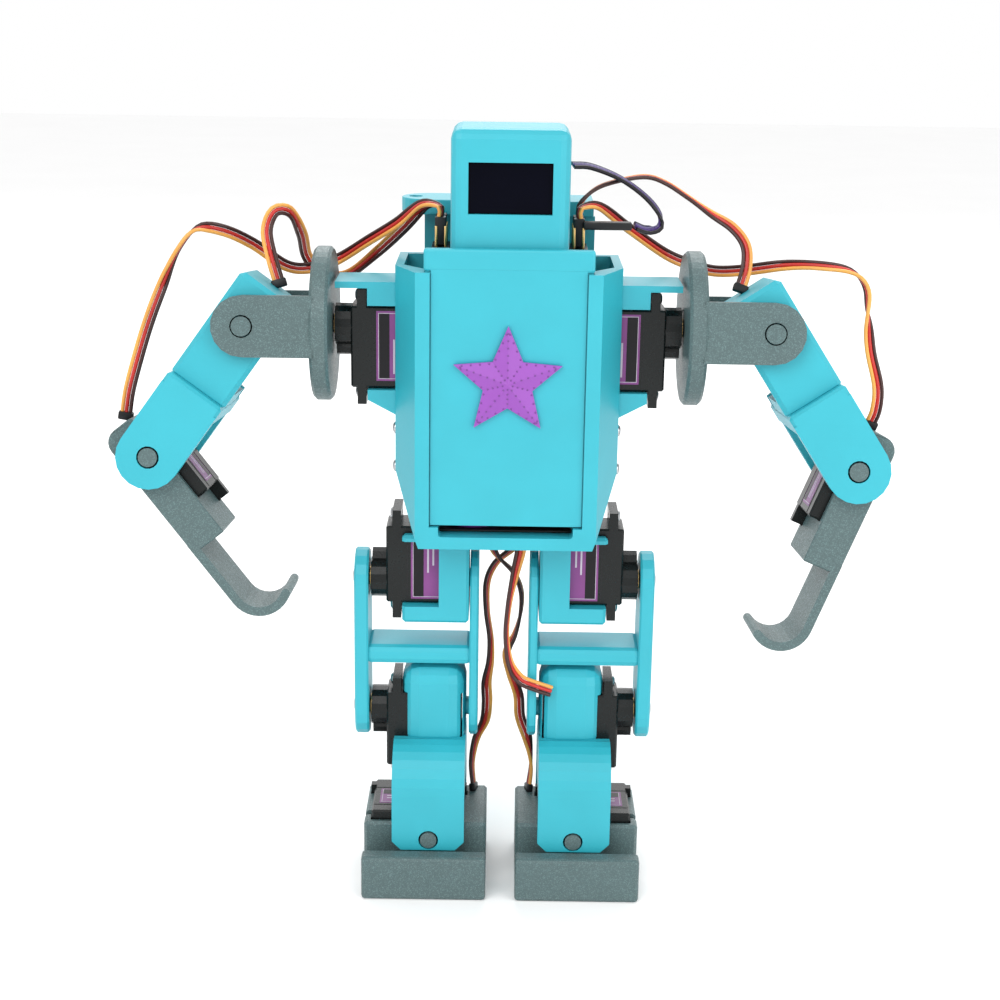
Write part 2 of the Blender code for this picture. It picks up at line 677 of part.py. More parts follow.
# Each lead's route in millimetres, chosen by hand, and read through a smooth curve
LEAD_R = 1.2
LEADS = {
    "lead_elbow_right": [
        (-19.0, -3.0, 194.3),
        (-19.2, -2.8, 196.8),
        (-24.5, 1.0, 197.0),
        (-31.5, 6.5, 191.0),
        (-40.0, 13.5, 185.0),
        (-49.5, 19.8, 178.5),
        (-57.5, 19.6, 176.0),
        (-64.0, 17.8, 177.0),
        (-72.5, 13.5, 183.6),
        (-80.0, 7.0, 188.2),
        (-86.5, 3.0, 189.0),
        (-91.5, 0.0, 183.5),
        (-96.4, -2.0, 172.5),
        (-100.0, -3.5, 163.0),
        (-103.2, -4.2, 153.0),
        (-105.6, -4.5, 144.5),
        (-106.9, -4.0, 137.6),
    ],
    "lead_roll_right": [
        (-19.0, 3.5, 194.3),
        (-19.2, 3.8, 196.2),
        (-23.8, 6.0, 195.6),
        (-30.0, 10.5, 189.0),
        (-37.5, 16.5, 181.5),
        (-47.0, 23.5, 173.5),
        (-54.0, 25.0, 173.5),
        (-58.4, 24.2, 178.5),
        (-59.2, 18.0, 186.0),
        (-61.5, 11.0, 193.0),
        (-65.5, 8.0, 193.6),
        (-67.6, 6.0, 188.5),
        (-66.2, 4.0, 181.5),
        (-64.0, 2.0, 174.6),
    ],
    "lead_elbow_left": [
        (19.0, -3.0, 194.3),
        (19.2, -2.8, 196.8),
        (24.5, 1.0, 197.0),
        (33.5, 9.0, 190.0),
        (45.0, 19.5, 181.5),
        (53.0, 22.8, 178.0),
        (59.5, 22.0, 176.5),
        (67.5, 18.0, 177.5),
        (78.5, 12.0, 180.0),
        (88.0, 8.0, 180.5),
        (95.5, 5.0, 179.5),
        (99.4, 2.0, 175.5),
        (100.0, 0.0, 168.0),
        (101.0, -2.0, 158.5),
        (103.3, -4.0, 149.0),
        (103.2, -4.6, 142.5),
        (101.9, -4.4, 138.2),
    ],
    "lead_roll_left": [
        (19.0, 3.0, 194.3),
        (19.4, 3.2, 197.6),
        (24.0, 5.0, 201.6),
        (31.0, 7.0, 203.7),
        (38.0, 11.0, 204.2),
        (43.5, 14.0, 202.3),
        (49.5, 15.5, 198.6),
        (56.5, 14.0, 194.0),
        (62.5, 11.0, 190.5),
        (66.0, 8.0, 186.0),
        (66.2, 5.0, 180.5),
        (64.5, 2.0, 175.0),
    ],
    "lead_display": [
        (17.0, 2.0, 208.0),
        (22.0, 3.0, 207.6),
        (30.0, 3.5, 204.5),
        (37.0, 2.5, 199.8),
        (40.8, 0.5, 195.4),
        (40.6, -2.0, 192.2),
        (37.2, -5.4, 191.6),
        (34.0, -6.6, 192.8),
    ],
    "lead_leg_right": [
        (3.8, 7.5, 108.0),
        (4.4, 8.3, 101.0),
        (2.4, 9.0, 96.0),
        (-2.4, 9.0, 91.5),
        (-5.0, 7.5, 86.0),
        (-5.0, 5.0, 78.0),
        (-3.8, 3.0, 70.0),
        (-3.8, 2.5, 63.0),
        (-4.8, 4.5, 55.5),
        (-4.6, 7.5, 48.0),
        (-5.2, 9.5, 41.0),
        (-7.8, 10.5, 34.5),
        (-9.0, 9.8, 27.0),
        (-8.4, 8.0, 20.2),
    ],
    "lead_leg_left": [
        (-3.6, 6.0, 108.0),
        (-4.6, 6.0, 101.0),
        (-2.4, 5.2, 95.0),
        (2.6, 4.5, 90.0),
        (5.0, 5.0, 84.0),
        (5.0, 6.0, 77.0),
        (3.4, 6.5, 70.0),
        (1.0, 6.5, 64.0),
        (2.4, 7.0, 57.5),
        (4.8, 8.0, 50.0),
        (5.4, 9.5, 42.5),
        (7.8, 10.5, 35.0),
        (9.0, 9.8, 27.0),
        (8.4, 8.0, 20.2),
    ],
    "lead_knee_left": [
        (4.2, -6.0, 107.6),
        (4.6, -6.0, 101.0),
        (3.0, -6.5, 93.0),
        (1.4, -7.0, 84.0),
        (0.8, -8.0, 75.0),
        (2.0, -9.5, 67.0),
        (5.0, -10.8, 62.5),
        (9.5, -11.0, 60.5),
        (14.0, -9.8, 58.5),
    ],
}


def smooth_route(points, count):
    """Points evenly spread along a Catmull-Rom curve through the route's own points."""
    route = [Vector(p) for p in points]
    ends = [route[0] * 2 - route[1], *route, route[-1] * 2 - route[-2]]
    fine = []
    for i in range(1, len(ends) - 2):
        a, b, c, d = ends[i - 1 : i + 3]
        for k in range(12):
            t = k / 12
            rise = 2 * a - 5 * b + 4 * c - d
            turn = 3 * b - a - 3 * c + d
            fine.append(0.5 * (2 * b + (c - a) * t + rise * t**2 + turn * t**3))
    fine.append(route[-1])
    steps = [0.0]
    for p, q in zip(fine, fine[1:]):
        steps.append(steps[-1] + (q - p).length)
    out = []
    for k in range(count):
        want = steps[-1] * k / (count - 1)
        i = next((n for n in range(1, len(steps)) if steps[n] >= want - 1e-9), len(steps) - 1)
        share = (want - steps[i - 1]) / max(steps[i] - steps[i - 1], 1e-9)
        out.append(fine[i - 1].lerp(fine[i], min(1, share)))
    return out, steps[-1]


def lead(points):
    length = smooth_route(points, 2)[1]
    count = round(length / (6 * LEAD_R))
    curve = bpy.data.curves.new("lead", "CURVE")
    curve.dimensions = "3D"
    curve.bevel_depth = LEAD_R * MM
    curve.bevel_resolution = 2
    curve.use_fill_caps = True
    spline = curve.splines.new("POLY")
    route = smooth_route(points, count)[0]
    spline.points.add(len(route) - 1)
    for point, place in zip(spline.points, route):
        point.co = (*(place * MM), 1)
    obj = bpy.data.objects.new("lead", curve)
    bpy.context.scene.collection.objects.link(obj)
    return obj


# ---------------------------------------------------------------- assembly


class Kit:
    """Names, colours and places the pieces."""

    def __init__(self):
        self.collection = make_collection("humanoid_robot_kit")
        self.materials = make_materials()

    def joint(self, name, place, parent=None, turn=None):
        empty = bpy.data.objects.new(name, None)
        empty.empty_display_size = 0.01
        self.collection.objects.link(empty)
        empty.parent = parent
        empty.location = Vector(place) * MM
        if turn:
            empty.rotation_euler = turn
        return empty

    def keep(self, obj, name, colour, parent=None, shift=(0, 0, 0), smooth=True):
        obj.name = name
        obj.data.name = name
        obj.data.materials.clear()
        obj.data.materials.append(self.materials[colour])
        if smooth and obj.type == "MESH":
            obj.data.shade_smooth()
            obj.data.set_sharp_from_angle(angle=math.radians(35))
        bpy.context.scene.collection.objects.unlink(obj)
        self.collection.objects.link(obj)
        obj.parent = parent
        obj.location = Vector(shift) * MM
        return obj


def mirrored(obj):
    copy = bpy.data.objects.new(obj.name, obj.data.copy())
    bpy.context.scene.collection.objects.link(copy)
    return turned(copy, Matrix.Scale(-1, 4, (1, 0, 0)))


def build_torso(kit):
    kit.keep(torso_frame(), "torso_frame", "printed_blue")
    kit.keep(board(), "controller_board", "board_dark")
    kit.keep(head_shell(), "head_shell", "printed_blue")
    kit.keep(display_module(), "display_module", "display_glass")
    kit.keep(neck_deck(), "neck_deck", "printed_blue")
    kit.keep(battery_cell(), "battery_cell", "battery_purple")
    kit.keep(battery_tray(), "battery_tray", "board_dark")
    kit.keep(power_module(), "power_module", "board_dark")
    kit.keep(display_plug(), "lead_header_left", "board_dark")
    kit.keep(turned(header(), Matrix.Scale(-1, 4, (1, 0, 0))), "lead_header_right", "board_dark")


def build_cover(kit):
    slide = kit.joint("cover_slide", (0, COVER_Y[0], COVER_Z[0]))
    shift = (0, -COVER_Y[0], -COVER_Z[0])
    kit.keep(front_cover(), "front_cover", "printed_blue", slide, shift)
    kit.keep(star_badge(), "star_badge", "printed_purple", slide, shift, smooth=False)


def build_sides(kit):
    """Every paired piece is made at +X, copied as its mirror image and moved to its joint."""
    groups = {
        "torso": [
            ("shoulder_servo", shoulder_servo(), "servo_black"),
            ("hip_servo", hip_servo(), "servo_black"),
            ("hip_bracket", hip_bracket(), "printed_blue"),
        ],
        "shoulder": [
            ("shoulder_disc", shoulder_disc(), "printed_grey"),
            ("shoulder_horn", disc_horn(), "horn_black"),
            ("roll_horn", turned(arm_horn(0), Matrix.Translation((ROLL_X * MM, 0, 0))), "horn_black"),
        ],
        "upper_arm": [
            ("upper_arm", upper_arm(), "printed_blue"),
            ("shoulder_pin", shoulder_pin(), "printed_grey"),
            ("roll_servo", roll_frame_servo(), "servo_black"),
            ("elbow_horn", arm_horn(-UPPER_ARM), "horn_black"),
        ],
        "forearm": [
            ("forearm", forearm(), "printed_grey"),
            ("elbow_servo", roll_frame_servo(), "servo_black"),
        ],
        "thigh": [
            ("thigh_frame", thigh_frame(), "printed_blue"),
            ("hip_horn", leg_horn(HIP_Z), "horn_black"),
            ("knee_horn", leg_horn(KNEE_Z), "horn_black"),
        ],
        "shin": [
            ("shin", shin(), "printed_blue"),
            ("knee_servo", knee_servo(), "servo_black"),
            ("ankle_horn", ankle_horn(), "horn_black"),
        ],
        "foot": [
            ("foot", foot(), "printed_grey"),
            ("ankle_servo", ankle_servo(), "servo_black"),
        ],
    }
    here = (0, 0, 0)
    for side, s in (("right", -1), ("left", 1)):
        roll_turn = (0, -s * math.radians(ARM_ROLL[side]), 0)
        bend_turn = (0, s * math.radians(ELBOW_BEND[side]), 0)
        pitch = kit.joint(f"shoulder_pitch_{side}", (0, 0, SHOULDER_Z), turn=(math.radians(-ARM_PITCH), 0, 0))
        roll = kit.joint(f"shoulder_roll_{side}", (s * ROLL_X, 0, 0), pitch, roll_turn)
        elbow = kit.joint(f"elbow_{side}", (0, 0, -UPPER_ARM), roll, bend_turn)
        hip = kit.joint(f"hip_{side}", (0, 0, HIP_Z))
        knee = kit.joint(f"knee_{side}", (0, 0, KNEE_Z - HIP_Z), hip)
        ankle = kit.joint(f"ankle_{side}", (s * ANKLE_X, 0, ANKLE_Z - KNEE_Z), knee)
        places = {
            "torso": (None, here),
            "shoulder": (pitch, here),
            "upper_arm": (roll, here),
            "forearm": (elbow, here),
            "thigh": (hip, (0, 0, -HIP_Z)),
            "shin": (knee, (0, 0, -KNEE_Z)),
            "foot": (ankle, (-s * ANKLE_X, 0, -ANKLE_Z)),
        }
        for group, pieces in groups.items():
            parent, shift = places[group]
            for name, obj, colour in pieces:
                piece = mirrored(obj) if s < 0 else obj
                kit.keep(piece, f"{name}_{side}", colour, parent, shift)


def build_leads(kit):
    for name, points in LEADS.items():
        kit.keep(lead(points), name, "lead_wire")


clear_scene()
robot = Kit()
build_torso(robot)
build_cover(robot)
build_sides(robot)
build_leads(robot)
bpy.context.view_layer.update()
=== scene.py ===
"""Humanoid robot kit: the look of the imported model.

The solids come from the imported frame. This script adds the leads, the screws, labels and other
fine pieces, the materials, a pale floor, soft light and the camera. Sizes are in millimetres here
and metres in the scene. Side pieces are built at +X and mirrored, as the solids are.
"""

import math

import bmesh
import bpy
from mathutils import Matrix, Vector


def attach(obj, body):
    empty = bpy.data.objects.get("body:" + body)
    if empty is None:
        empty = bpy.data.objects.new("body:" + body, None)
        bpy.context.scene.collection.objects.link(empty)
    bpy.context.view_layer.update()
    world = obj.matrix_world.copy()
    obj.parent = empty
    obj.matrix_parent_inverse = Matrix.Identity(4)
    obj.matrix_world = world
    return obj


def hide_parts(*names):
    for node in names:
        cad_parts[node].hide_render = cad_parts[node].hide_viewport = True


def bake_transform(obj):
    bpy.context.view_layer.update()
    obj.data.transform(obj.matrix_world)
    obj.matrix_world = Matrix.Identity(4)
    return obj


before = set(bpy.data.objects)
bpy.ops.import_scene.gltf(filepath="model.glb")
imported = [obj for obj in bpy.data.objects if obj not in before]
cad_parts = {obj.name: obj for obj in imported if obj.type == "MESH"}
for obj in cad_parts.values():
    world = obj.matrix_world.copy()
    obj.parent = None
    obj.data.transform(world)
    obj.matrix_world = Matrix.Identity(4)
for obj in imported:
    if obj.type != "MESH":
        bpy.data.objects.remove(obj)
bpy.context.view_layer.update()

MM = 0.001
SIDES = (("left", 1), ("right", -1))

# The stance and the joint places that the solids have
SHOULDER_Z = 163.7
ROLL_X = 71.7
UPPER_ARM = 44.0
HIP_Z = 89.7
KNEE_Z = 49.8
ANKLE = (21.0, 15.9)
ARM_PITCH = 7.0
ARM_ROLL = {"left": 32.9, "right": 35.5}
ELBOW_BEND = {"left": 55.6, "right": 73.8}

# Micro servo, from its shaft and from the bottom of its case
SERVO_HALF = 6.1
SERVO_END = 5.9
SERVO_FAR = 16.9
EAR_TOP = 20.1
TURRET_TOP = 26.4
EAR_HOLE = 2.3
SERVO_BACK = -14.0

# Faces that the small pieces stand on
TORSO_SIDE = 31.0
THIGH_SIDE = 43.0
DISC_OUT = 53.7
HORN_FACE = 15.4
BOARD_TOP = 183.6
HEADER_TOP = 193.0
PIN_PITCH = 2.54
HOUSINGS = {"left": (3.0, -3.0), "right": (-3.0, 3.5)}

# The star badge
STAR_Z = 152.2
STAR_RING = -22.2
STAR_PEAK = -24.7
STAR_OUTER = 15.4
STAR_INNER = 7.0

# Where the servos' case bottoms stand
SHOULDER_BOTTOM_X = 21.6
LEG_BOTTOM_X = 12.0

# The share of a label's height below its dark band
LABEL_SPLIT = 0.62

# Leads: three wires side by side
WIRE_R = 0.55
WIRE_PITCH = 1.15
WIRE_SIDES = 10

# Camera
LOOK_AT = (-1.6, 0.0, 113.1)
DISTANCE = 520.0
PITCH = 16.0
ROLL = 0.85
LENS = 65.33


# ---------------------------------------------------------------- camera, light and floor


def add_camera():
    """A camera that looks down at the robot a little, and leans with the picture."""
    pitch = math.radians(PITCH)
    forward = Vector((0, math.cos(pitch), -math.sin(pitch)))
    up = Vector((0, math.sin(pitch), math.cos(pitch)))
    right = Vector((1, 0, 0))
    lean = math.radians(ROLL)
    across = right * math.cos(lean) + up * math.sin(lean)
    above = up * math.cos(lean) - right * math.sin(lean)
    data = bpy.data.cameras.new("camera")
    data.lens = LENS
    data.clip_start = 0.01
    data.clip_end = 20
    camera = bpy.data.objects.new("camera", data)
    bpy.context.scene.collection.objects.link(camera)
    turn = Matrix((across, above, -forward)).transposed().to_4x4()
    place = (Vector(LOOK_AT) - forward * DISTANCE) * MM
    camera.matrix_world = Matrix.Translation(place) @ turn
    bpy.context.scene.camera = camera


def add_light(name, place, aim, size, power):
    data = bpy.data.lights.new(name, "AREA")
    data.size = size
    data.energy = power
    light = bpy.data.objects.new(name, data)
    bpy.context.scene.collection.objects.link(light)
    light.location = place
    light.rotation_euler = (Vector(aim) - Vector(place)).to_track_quat("-Z", "Y").to_euler()


def add_studio():
    world = bpy.data.worlds.new("studio")
    world.use_nodes = True
    background = world.node_tree.nodes["Background"]
    background.inputs["Color"].default_value = (1, 1, 1, 1)
    background.inputs["Strength"].default_value = 1.0
    bpy.context.scene.world = world
    bpy.context.scene.view_settings.view_transform = "Standard"
    add_light("key", (-0.5, -0.9, 1.0), (0, 0, 0.1), 0.9, 8.0)
    add_light("fill", (0.8, -0.7, 0.5), (0, 0, 0.1), 0.8, 4.0)
    add_light("back", (0.1, 0.9, 0.9), (0, 0, 0.12), 0.8, 6.0)
    bpy.ops.mesh.primitive_plane_add(size=6)
    floor = bpy.context.object
    floor.name = "floor"
    floor.data.materials.append(plain_material("floor_white", (0.96, 0.96, 0.96, 1), 0.9))


# ---------------------------------------------------------------- materials


class Nodes:
    """Short calls for building one material's node tree."""

    def __init__(self, name):
        self.material = bpy.data.materials.new(name)
        self.material.use_nodes = True
        self.tree = self.material.node_tree
        self.shader = self.tree.nodes["Principled BSDF"]
        self.place = self.add("ShaderNodeTexCoord").outputs["Object"]

    def add(self, kind, **values):
        node = self.tree.nodes.new(kind)
        for key, value in values.items():
            if hasattr(node, key):
                setattr(node, key, value)
            else:
                node.inputs[key.replace("_", " ").title()].default_value = value
        return node

    def link(self, source, target):
        self.tree.links.new(source, target)

    def noise(self, scale, detail=3.0):
        node = self.add("ShaderNodeTexNoise", Scale=scale, Detail=detail)
        self.link(self.place, node.inputs["Vector"])
        return node.outputs["Fac"]

    def ramp(self, source, stops):
        """A colour ramp from (position, colour) stops."""
        node = self.add("ShaderNodeValToRGB")
        elements = node.color_ramp.elements
        while len(elements) > len(stops):
            elements.remove(elements[-1])
        while len(elements) < len(stops):
            elements.new(1.0)
        for element, (position, colour) in zip(elements, stops):
            element.position = position
            element.color = colour
        self.link(source, node.inputs["Fac"])
        return node.outputs["Color"]

    def spread(self, source, low, high):
        """Maps 0..1 to low..high."""
        node = self.add("ShaderNodeMapRange")
        node.inputs["To Min"].default_value = low
        node.inputs["To Max"].default_value = high
        self.link(source, node.inputs["Value"])
        return node.outputs["Result"]

    def math(self, operation, a, b):
        node = self.add("ShaderNodeMath")
        node.operation = operation
        for socket, value in zip(node.inputs, (a, b)):
            if isinstance(value, (int, float)):
                socket.default_value = value
            else:
                self.link(value, socket)
        return node.outputs["Value"]

    def bump(self, height, strength, distance):
        node = self.add("ShaderNodeBump")
        node.inputs["Strength"].default_value = strength
        node.inputs["Distance"].default_value = distance
        self.link(height, node.inputs["Height"])
        self.link(node.outputs["Normal"], self.shader.inputs["Normal"])


def shade(colour, factor):
    return (*(min(1, c * factor) for c in colour[:3]), 1)


def plain_material(name, colour, roughness):
    """A smooth surface with a faint change of tone."""
    kit = Nodes(name)
    tone = kit.ramp(kit.noise(9.0), [(0.3, shade(colour, 0.985)), (0.7, colour)])
    kit.link(tone, kit.shader.inputs["Base Color"])
    kit.shader.inputs["Roughness"].default_value = roughness
    return kit.material


def printed_material(
    name, colour, axis=(0, 0, 1), roughness=(0.36, 0.5), glitter=False, layer=0.3
):
    """Fused filament: fine lines across the print's axis, soft blotches, and flakes in the grey."""
    kit = Nodes(name)
    along = kit.add("ShaderNodeVectorMath")
    along.operation = "DOT_PRODUCT"
    kit.link(kit.place, along.inputs[0])
    along.inputs[1].default_value = axis
    wobble = kit.math("MULTIPLY", kit.noise(400.0, 2.0), 0.00004)
    height = kit.math("ADD", along.outputs["Value"], wobble)
    lines = kit.math("SINE", kit.math("MULTIPLY", height, 2 * math.pi / (layer * MM)), 0.0)
    lines = kit.spread(lines, 0.35, 0.65)
    grain = kit.noise(2600.0, 2.0)
    blotch = kit.noise(45.0, 4.0)
    tone = kit.ramp(blotch, [(0.25, shade(colour, 0.93)), (0.75, shade(colour, 1.05))])
    if glitter:
        cells = kit.add("ShaderNodeTexVoronoi", Scale=4600.0)
        kit.link(kit.place, cells.inputs["Vector"])
        split = kit.add("ShaderNodeSeparateColor")
        kit.link(cells.outputs["Color"], split.inputs["Color"])
        flake = kit.ramp(
            split.outputs["Red"],
            [(0.0, (0, 0, 0, 1)), (0.62, (0, 0, 0, 1)), (0.97, (1, 1, 1, 1))],
        )
        mix = kit.add("ShaderNodeMix", data_type="RGBA")
        kit.link(flake, mix.inputs["Factor"])
        kit.link(tone, mix.inputs[6])
        mix.inputs[7].default_value = shade(colour, 1.7)
        tone = mix.outputs[2]
        rough = kit.spread(flake, roughness[1], roughness[0] - 0.08)
    else:
        rough = kit.spread(grain, *roughness)
    kit.link(tone, kit.shader.inputs["Base Color"])
    kit.link(rough, kit.shader.inputs["Roughness"])
    surface = kit.math("ADD", lines, kit.math("MULTIPLY", grain, 0.35))
    kit.bump(surface, 0.28, 0.00006)
    return kit.material


def moulded_material(name, colour, roughness, coat=0.0, metallic=0.0, grain=1200.0, relief=0.05, gloss=0.5):
    """Moulded plastic, rubber or metal with a faint texture."""
    kit = Nodes(name)
    cloud = kit.noise(70.0, 3.0)
    tone = kit.ramp(cloud, [(0.3, shade(colour, 0.82)), (0.7, shade(colour, 1.15))])
    kit.link(tone, kit.shader.inputs["Base Color"])
    speck = kit.noise(grain, 2.0)
    kit.link(kit.spread(speck, roughness * 0.8, roughness * 1.25), kit.shader.inputs["Roughness"])
    kit.shader.inputs["Metallic"].default_value = metallic
    kit.shader.inputs["Coat Weight"].default_value = coat
    kit.shader.inputs["Specular IOR Level"].default_value = gloss
    kit.bump(speck, relief, 0.00005)
    return kit.material


BLUE = (0.026, 0.385, 0.47, 1)
GREY = (0.068, 0.110, 0.112, 1)
PURPLE = (0.27, 0.062, 0.40, 1)


def make_materials():
    made = {
        "printed_blue": printed_material("printed_blue", BLUE),
        "printed_blue_side": printed_material("printed_blue_side", BLUE, (0, 1, 0.05)),
        "printed_grey": printed_material("printed_grey", GREY, (0, 1, 0.05), glitter=True),
        "printed_grey_disc": printed_material("printed_grey_disc", GREY, (1, 0, 0), glitter=True),
        "printed_purple": printed_material("printed_purple", PURPLE, roughness=(0.38, 0.5), layer=0.22),
        "printed_violet": printed_material("printed_violet", shade(PURPLE, 0.62), roughness=(0.38, 0.5)),
        "servo_black": moulded_material("servo_black", (0.006, 0.008, 0.008, 1), 0.28, gloss=0.28),
        "horn_black": moulded_material("horn_black", (0.010, 0.011, 0.012, 1), 0.40, gloss=0.28),
        "display_glass": moulded_material("display_glass", (0.0012, 0.0015, 0.005, 1), 0.12, gloss=0.05),
        "board_dark": moulded_material("board_dark", (0.008, 0.014, 0.022, 1), 0.38, gloss=0.3),
        "battery_purple": moulded_material("battery_purple", (0.20, 0.03, 0.30, 1), 0.3, coat=0.4),
        "label_purple": moulded_material("label_purple", (0.20, 0.050, 0.20, 1), 0.35, gloss=0.35),
        "label_black": moulded_material("label_black", (0.006, 0.005, 0.007, 1), 0.35, gloss=0.25),
        "label_white": moulded_material("label_white", (0.50, 0.44, 0.52, 1), 0.4),
        "steel": moulded_material("steel", (0.55, 0.55, 0.56, 1), 0.3, metallic=1.0, grain=2500),
        "screw_dark": moulded_material("screw_dark", (0.05, 0.05, 0.055, 1), 0.35, metallic=0.8),
        "brass": moulded_material("brass", (0.75, 0.50, 0.20, 1), 0.3, metallic=1.0),
        "wire_brown": moulded_material("wire_brown", (0.040, 0.008, 0.005, 1), 0.38, relief=0.02),
        "wire_red": moulded_material("wire_red", (0.50, 0.018, 0.012, 1), 0.38, relief=0.02),
        "wire_orange": moulded_material("wire_orange", (0.80, 0.36, 0.07, 1), 0.38, relief=0.02),
        "wire_black": moulded_material("wire_black", (0.008, 0.007, 0.010, 1), 0.36, relief=0.02, gloss=0.35),
        "wire_violet": moulded_material("wire_violet", (0.05, 0.02, 0.15, 1), 0.36, relief=0.02, gloss=0.35),
        "wire_pale": moulded_material("wire_pale", (0.10, 0.08, 0.20, 1), 0.36, relief=0.02),
        "wire_grey": moulded_material("wire_grey", (0.03, 0.03, 0.06, 1), 0.36, relief=0.02),
    }
    return made


# ---------------------------------------------------------------- building


def new_object(name, shape, *materials):
    mesh = bpy.data.meshes.new(name)
    bmesh.ops.recalc_face_normals(shape, faces=shape.faces)
    shape.to_mesh(mesh)
    shape.free()
    for material in materials:
        mesh.materials.append(MATERIALS[material])
    obj = bpy.data.objects.new(name, mesh)
    bpy.context.scene.collection.objects.link(obj)
    mesh.shade_smooth()
    mesh.set_sharp_from_angle(angle=math.radians(35))
    return obj


def add_box(shape, x, y, z, bevel=0.0, material=0):
    """A block between two limits on each axis, with rounded edges, in millimetres."""
    lows = Vector((min(x), min(y), min(z)))
    highs = Vector((max(x), max(y), max(z)))
    made = bmesh.ops.create_cube(shape, size=1)["verts"]
    size = Matrix.Diagonal((*(highs - lows) * MM, 1))
    bmesh.ops.transform(shape, matrix=Matrix.Translation((highs + lows) / 2 * MM) @ size, verts=made)
    faces = {face for vert in made for face in vert.link_faces}
    for face in faces:
        face.material_index = material
    if bevel:
        edges = list({edge for face in faces for edge in face.edges})
        bmesh.ops.bevel(
            shape, geom=edges, offset=bevel * MM, segments=2, affect="EDGES", profile=0.5, material=-1
        )


def add_turned(shape, profile, matrix, steps=20, material=0):
    """A closed profile of (radius, height) points turned round Z, then moved by a matrix."""
    rings = []
    for radius, height in profile:
        if radius == 0:
            rings.append([shape.verts.new(matrix @ Vector((0, 0, height * MM)))])
            continue
        ring = []
        for i in range(steps):
            angle = 2 * math.pi * i / steps
            point = Vector((radius * math.cos(angle), radius * math.sin(angle), height)) * MM
            ring.append(shape.verts.new(matrix @ point))
        rings.append(ring)
    for low, high in zip(rings, rings[1:]):
        for i in range(steps):
            j = (i + 1) % steps
            corners = [low[i % len(low)], low[j % len(low)], high[j % len(high)], high[i % len(high)]]
            unique = list(dict.fromkeys(corners))
            if len(unique) > 2:
                shape.faces.new(unique).material_index = material


def axes_matrix(x_to, y_to, z_to, origin):
    """Sends X, Y and Z to three directions, and the origin to a point in mm."""
    turn = Matrix((x_to, y_to, z_to)).transposed().to_4x4()
    return Matrix.Translation(Vector(origin) * MM) @ turn


def pointing(place, direction):
    """Sends +Z to a direction, at a place in mm."""
    turn = Vector(direction).to_track_quat("Z", "Y").to_matrix().to_4x4()
    return Matrix.Translation(Vector(place) * MM) @ turn


def group_matrix(group, side, s):
    """The frame that a body's pieces are built in, at rest. s is -1 on the mirrored side."""
    mirror = Matrix.Scale(s, 4, (1, 0, 0))
    if group in ("torso", "thigh", "shin", "foot"):
        return mirror
    place = Matrix.Translation((0, 0, SHOULDER_Z * MM))
    place = place @ Matrix.Rotation(math.radians(-ARM_PITCH), 4, "X")
    if group != "shoulder":
        place = place @ Matrix.Translation((s * ROLL_X * MM, 0, 0))
        place = place @ Matrix.Rotation(math.radians(-s * ARM_ROLL[side]), 4, "Y")
    if group == "forearm":
        place = place @ Matrix.Translation((0, 0, -UPPER_ARM * MM))
        place = place @ Matrix.Rotation(math.radians(s * ELBOW_BEND[side]), 4, "Y")
    return place @ mirror


def settle(obj, group, side, s):
    """Moves a piece built at +X to its side and lets it ride on its body."""
    matrix = group_matrix(group, side, s)
    obj.data.transform(matrix)
    if s < 0:
        obj.data.flip_normals()
    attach(obj, "torso" if group == "torso" else f"{side}_{group}")
    return obj


# ---------------------------------------------------------------- leads

SERVO_WIRES = ("wire_brown", "wire_red", "wire_orange")
DISPLAY_WIRES = ("wire_black", "wire_violet", "wire_pale", "wire_grey")

